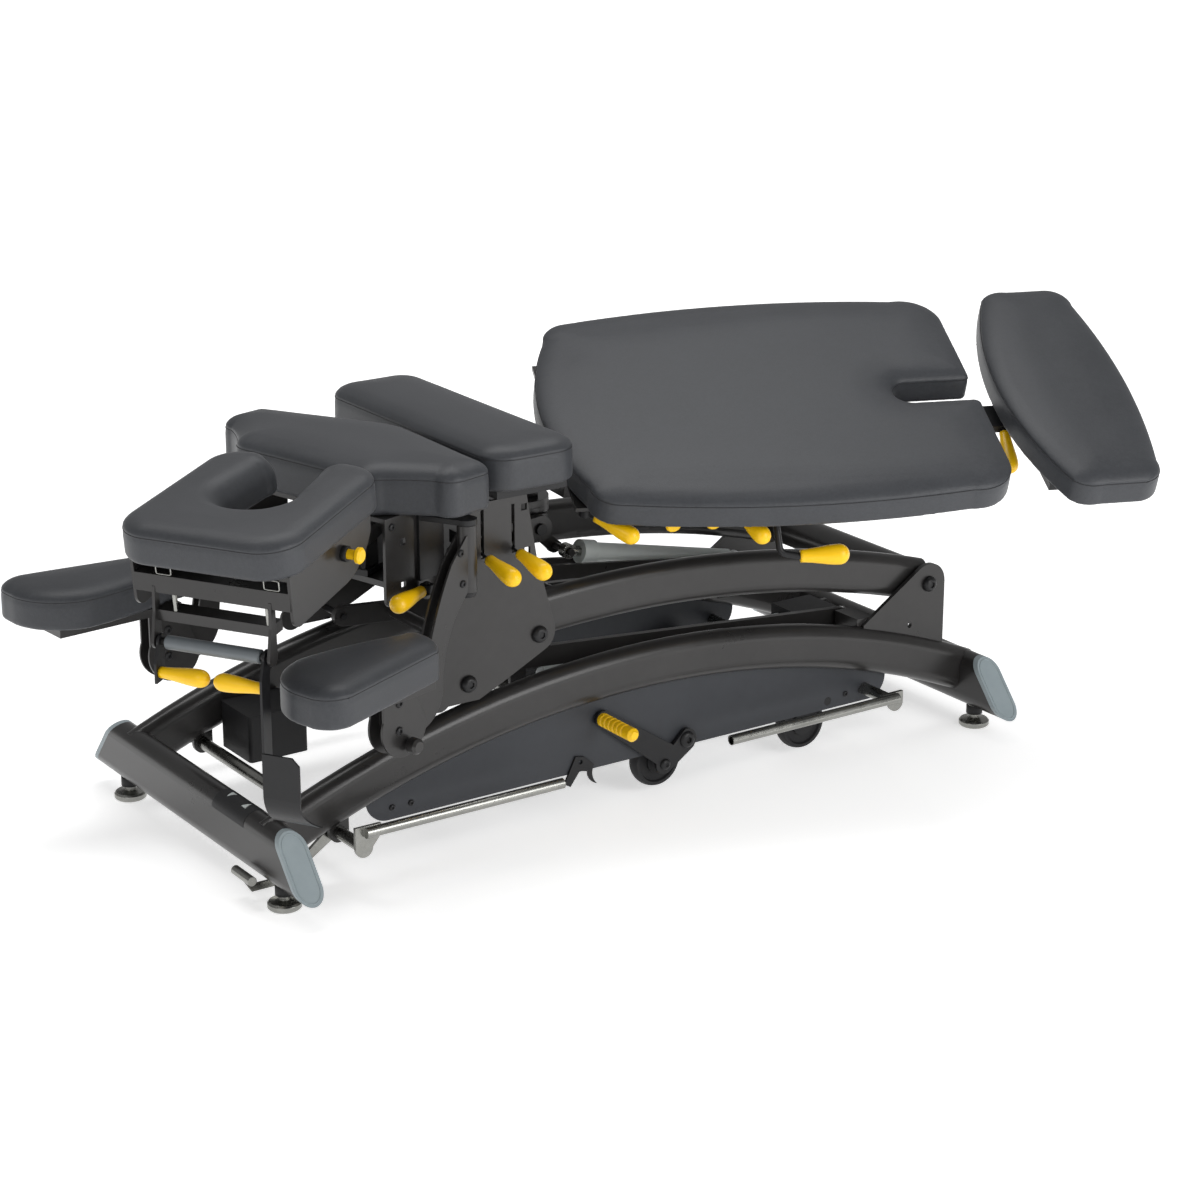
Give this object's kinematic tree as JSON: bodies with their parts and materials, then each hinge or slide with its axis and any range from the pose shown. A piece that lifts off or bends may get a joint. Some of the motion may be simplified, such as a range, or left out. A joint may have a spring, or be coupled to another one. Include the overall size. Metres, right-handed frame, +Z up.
{
  "type": "electric treatment table",
  "caption": "Electric treatment table: arched base and lift arms, hinged head, chest, belly, leg and foot cushions, armrests, yellow hand levers and transport wheels.",
  "frame": {"origin": "on the floor, midway between the four levelling feet", "axes": "+X to the foot end, -Y to the near side with the control levers, +Z up"},
  "size_m": [1.9303, 1.0561, 0.7931],
  "materials": {
    "frame_paint": "satin anthracite powder coat",
    "skirt_paint": "matt blue-grey sheet",
    "dark_steel": "black coated steel",
    "zinc_steel": "bright zinc and chrome rods",
    "actuator_grey": "light grey tube",
    "black_plastic": "black moulded plastic",
    "cap_plastic": "blue-grey end cap",
    "yellow_plastic": "yellow grip",
    "upholstery": "charcoal leatherette over foam",
    "wheel_rubber": "black tread"
  },
  "bodies": {
    "base": {"base_cross_tubes": "frame_paint", "end_caps": "cap_plastic", "base_side_tubes": "frame_paint", "levelling_feet": "zinc_steel", "base_brackets": "frame_paint", "base_pins": "dark_steel", "side_skirts": "skirt_paint", "control_box": "black_plastic", "claw_latch": "dark_steel"},
    "wheel_lever": {"wheel_lever": "dark_steel", "wheel_lever_grip": "yellow_plastic"},
    "front_wheels": {"front_wheels": "wheel_rubber"},
    "rear_wheel_arm": {"rear_wheel_arm": "dark_steel"},
    "rear_wheels": {"rear_wheels": "wheel_rubber"},
    "head_foot_frame": {"head_foot_frame": "zinc_steel"},
    "tail_foot_frame": {"tail_foot_frame": "zinc_steel"},
    "lift": {"lift_arms": "frame_paint", "lift_tubes": "frame_paint"},
    "lower_links": {"lower_links": "frame_paint"},
    "lift_actuator": {"lift_motor": "black_plastic", "lift_actuator_tube": "actuator_grey"},
    "lift_rod": {"lift_actuator_rod": "zinc_steel"},
    "carrier": {"carrier_plates": "frame_paint", "carrier_beam": "frame_paint", "carrier_bolts": "dark_steel", "belly_board": "dark_steel", "belly_cushion": "upholstery"},
    "drop_lever_front": {"drop_lever_front": "yellow_plastic"},
    "drop_lever_rear": {"drop_lever_rear": "yellow_plastic"},
    "chest": {"chest_tower": "frame_paint", "chest_cushion": "upholstery", "rest_posts": "dark_steel"},
    "chest_lever": {"chest_lever": "yellow_plastic"},
    "rest_arm_near": {"rest_arm_near": "frame_paint"},
    "rest_near": {"rest_bracket_near": "frame_paint", "rest_cushion_near": "upholstery"},
    "rest_arm_far": {"rest_arm_far": "frame_paint"},
    "rest_far": {"rest_bracket_far": "frame_paint", "rest_cushion_far": "upholstery"},
    "head_arm": {"head_arm": "dark_steel"},
    "head": {"head_frame": "frame_paint", "head_cushion": "upholstery"},
    "head_knob": {"head_knob": "yellow_plastic"},
    "head_roller": {"head_roller": "actuator_grey"},
    "head_handle_near": {"head_handle_near": "dark_steel"},
    "head_handle_far": {"head_handle_far": "dark_steel"},
    "leg_yoke": {"leg_yoke": "frame_paint"},
    "leg_swivel": {"leg_swivel": "frame_paint"},
    "leg": {"leg_frame": "frame_paint", "leg_cushion": "upholstery"},
    "foot": {"foot_slide": "dark_steel", "foot_cushion": "upholstery"},
    "leg_flexor": {"leg_flexor_tube": "actuator_grey"},
    "leg_flexor_rod": {"leg_flexor_rod": "zinc_steel"},
    "leg_paddle": {"leg_paddle": "yellow_plastic"},
    "leg_lock_lever": {"leg_lock_lever": "yellow_plastic"},
    "leg_knob_front": {"leg_knob_front": "yellow_plastic"},
    "leg_knob_rear": {"leg_knob_rear": "yellow_plastic"},
    "leg_handle": {"leg_handle": "dark_steel"}
  },
  "joints": [
    {"name": "wheel_lever_turn", "type": "hinge", "parent": "base", "child": "wheel_lever", "pos_m": [0.092, 0, 0.097], "axis": [0, -1, 0], "range_deg": [0, 28]},
    {"name": "front_wheel_spin", "type": "hinge", "parent": "wheel_lever", "child": "front_wheels", "pos_m": [0.045, 0, 0.061], "axis": [0, 1, 0], "continuous": true},
    {"name": "rear_wheel_arm_turn", "type": "hinge", "parent": "base", "child": "rear_wheel_arm", "pos_m": [0.413, 0, 0.097], "axis": [0, -1, 0], "range_deg": [-0.5, 28.5]},
    {"name": "rear_wheel_spin", "type": "hinge", "parent": "rear_wheel_arm", "child": "rear_wheels", "pos_m": [0.366, 0, 0.061], "axis": [0, 1, 0], "continuous": true},
    {"name": "head_foot_frame_press", "type": "hinge", "parent": "base", "child": "head_foot_frame", "pos_m": [-0.602, 0, 0.088], "axis": [0, -1, 0], "range_deg": [0, 4], "stiffness_Nm_per_rad": 60, "springref_deg": -11.46},
    {"name": "tail_foot_frame_press", "type": "hinge", "parent": "base", "child": "tail_foot_frame", "pos_m": [0.496, 0, 0.105], "axis": [0, -1, 0], "range_deg": [0, 4], "stiffness_Nm_per_rad": 60, "springref_deg": -11.46},
    {"name": "lift_turn", "type": "hinge", "parent": "base", "child": "lift", "pos_m": [0.63, 0, 0.284], "axis": [0, 1, 0], "range_deg": [0, 35]},
    {"name": "lower_link_turn", "type": "hinge", "parent": "base", "child": "lower_links", "pos_m": [0.491, 0, 0.225], "axis": [0, 1, 0], "range_deg": [-0.5, 35.5]},
    {"name": "carrier_turn", "type": "hinge", "parent": "lift", "child": "carrier", "pos_m": [-0.22, 0, 0.355], "axis": [0, 1, 0], "range_deg": [-35.5, 0.5]},
    {"name": "lift_actuator_turn", "type": "hinge", "parent": "base", "child": "lift_actuator", "pos_m": [0.6, 0, 0.165], "axis": [0, 1, 0], "range_deg": [-0.5, 36.5]},
    {"name": "lift_rod_slide", "type": "slide", "parent": "lift_actuator", "child": "lift_rod", "axis": [-1, 0, 0], "range_m": [-0.001, 0.0762]},
    {"name": "drop_lever_front_lift", "type": "hinge", "parent": "carrier", "child": "drop_lever_front", "pos_m": [-0.328, -0.18, 0.525], "axis": [-1, 0, 0], "range_deg": [0, 17]},
    {"name": "drop_lever_rear_lift", "type": "hinge", "parent": "carrier", "child": "drop_lever_rear", "pos_m": [-0.269, -0.18, 0.525], "axis": [-1, 0, 0], "range_deg": [0, 17]},
    {"name": "chest_yaw", "type": "hinge", "parent": "carrier", "child": "chest", "pos_m": [-0.255, 0, 0.46], "axis": [0, 0, 1], "range_deg": [-30, 0]},
    {"name": "chest_lever_turn", "type": "hinge", "parent": "chest", "child": "chest_lever", "pos_m": [-0.43532, -0.25434, 0.475], "axis": [0, 0, 1], "range_deg": [0, 12], "stiffness_Nm_per_rad": 0.6, "springref_deg": -8.59},
    {"name": "rest_near_swing", "type": "hinge", "parent": "chest", "child": "rest_arm_near", "pos_m": [-0.38676, -0.30034, 0.596], "axis": [0, 0, 1], "range_deg": [0, 45]},
    {"name": "rest_near_tilt", "type": "hinge", "parent": "rest_arm_near", "child": "rest_near", "pos_m": [-0.54131, -0.34175, 0.312], "axis": [-0.2588, 0.9659, 0], "range_deg": [-3, 5]},
    {"name": "rest_far_swing", "type": "hinge", "parent": "chest", "child": "rest_arm_far", "pos_m": [-0.51927, 0.19422, 0.596], "axis": [0, 0, 1], "range_deg": [-35, 8]},
    {"name": "rest_far_tilt", "type": "hinge", "parent": "rest_arm_far", "child": "rest_far", "pos_m": [-0.67866, 0.18027, 0.312], "axis": [-0.0872, 0.9962, 0], "range_deg": [-20, 5]},
    {"name": "head_yaw", "type": "hinge", "parent": "chest", "child": "head_arm", "pos_m": [-0.35159, -0.02588, 0.505], "axis": [0, 0, 1], "range_deg": [-33, 0]},
    {"name": "head_tilt", "type": "hinge", "parent": "head_arm", "child": "head", "pos_m": [-0.53491, -0.13822, 0.575], "axis": [-0.5225, 0.8526, 0], "range_deg": [-2, 10]},
    {"name": "head_knob_pull", "type": "slide", "parent": "head", "child": "head_knob", "axis": [0.5225, -0.8526, 0], "range_m": [0, 0.01], "stiffness_N_per_m": 900, "springref_m": -0.004},
    {"name": "head_roller_spin", "type": "hinge", "parent": "head", "child": "head_roller", "pos_m": [-0.85733, -0.3358, 0.4792], "axis": [-0.5225, 0.8526, 0], "continuous": true},
    {"name": "head_handle_near_pull", "type": "hinge", "parent": "head", "child": "head_handle_near", "pos_m": [-0.85733, -0.3358, 0.4792], "axis": [-0.5225, 0.8526, 0], "range_deg": [0, 25], "stiffness_Nm_per_rad": 4, "springref_deg": -17.19},
    {"name": "head_handle_far_pull", "type": "hinge", "parent": "head", "child": "head_handle_far", "pos_m": [-0.85733, -0.3358, 0.4792], "axis": [-0.5225, 0.8526, 0], "range_deg": [0, 25], "stiffness_Nm_per_rad": 2, "springref_deg": -11.46},
    {"name": "leg_flexion", "type": "hinge", "parent": "carrier", "child": "leg_yoke", "pos_m": [-0.099, 0, 0.47], "axis": [0, -1, 0], "range_deg": [-2, 8]},
    {"name": "leg_yaw", "type": "hinge", "parent": "leg_yoke", "child": "leg_swivel", "pos_m": [-0.099, 0, 0.51], "axis": [0, 0, 1], "range_deg": [0, 43.8]},
    {"name": "leg_roll", "type": "hinge", "parent": "leg_swivel", "child": "leg", "pos_m": [-0.099, 0, 0.569], "axis": [0.9278, -0.373, 0], "range_deg": [-45, 0]},
    {"name": "foot_reach", "type": "slide", "parent": "leg", "child": "foot", "axis": [0.9278, -0.373, 0], "range_m": [0, 0.08]},
    {"name": "leg_flexor_turn", "type": "hinge", "parent": "carrier", "child": "leg_flexor", "pos_m": [0.3, -0.1, 0.352], "axis": [0, 1, 0], "range_deg": [-3, 3]},
    {"name": "leg_flexor_rod_slide", "type": "slide", "parent": "leg_flexor", "child": "leg_flexor_rod", "axis": [-0.9764, 0, 0.2158], "range_m": [-0.008, 0.008]},
    {"name": "leg_paddle_turn", "type": "hinge", "parent": "leg", "child": "leg_paddle", "pos_m": [-0.09593, -0.20685, 0.53291], "axis": [-0.1433, -0.3566, 0.9232], "range_deg": [0, 15], "stiffness_Nm_per_rad": 0.6, "springref_deg": -8.59},
    {"name": "leg_lock_lever_turn", "type": "hinge", "parent": "leg", "child": "leg_lock_lever", "pos_m": [0.13603, -0.3001, 0.53291], "axis": [-0.1433, -0.3566, 0.9232], "range_deg": [-15, 0], "stiffness_Nm_per_rad": 0.6, "springref_deg": 8.59},
    {"name": "leg_knob_front_pull", "type": "slide", "parent": "leg", "child": "leg_knob_front", "axis": [-0.3443, -0.8566, -0.3843], "range_m": [0, 0.012], "stiffness_N_per_m": 900, "springref_m": -0.004},
    {"name": "leg_knob_rear_pull", "type": "slide", "parent": "leg", "child": "leg_knob_rear", "axis": [-0.3443, -0.8566, -0.3843], "range_m": [0, 0.012], "stiffness_N_per_m": 900, "springref_m": -0.004},
    {"name": "leg_handle_lift", "type": "hinge", "parent": "leg", "child": "leg_handle", "pos_m": [0.26522, -0.16104, 0.60159], "axis": [-0.3443, -0.8566, -0.3843], "range_deg": [0, 15]}
  ],
  "couplings": [
    {"joint": "lower_link_turn", "follows": "lift_turn", "ratio": 1},
    {"joint": "carrier_turn", "follows": "lift_turn", "ratio": -1},
    {"joint": "lift_actuator_turn", "follows": "lift_turn", "ratio": 0.999},
    {"joint": "lift_rod_slide", "follows": "lift_turn", "m_per_rad": 0.1215},
    {"joint": "leg_flexor_turn", "follows": "leg_flexion", "ratio": 0.125},
    {"joint": "leg_flexor_rod_slide", "follows": "leg_flexion", "m_per_rad": -0.0265},
    {"joint": "rear_wheel_arm_turn", "follows": "wheel_lever_turn", "ratio": 1}
  ]
}
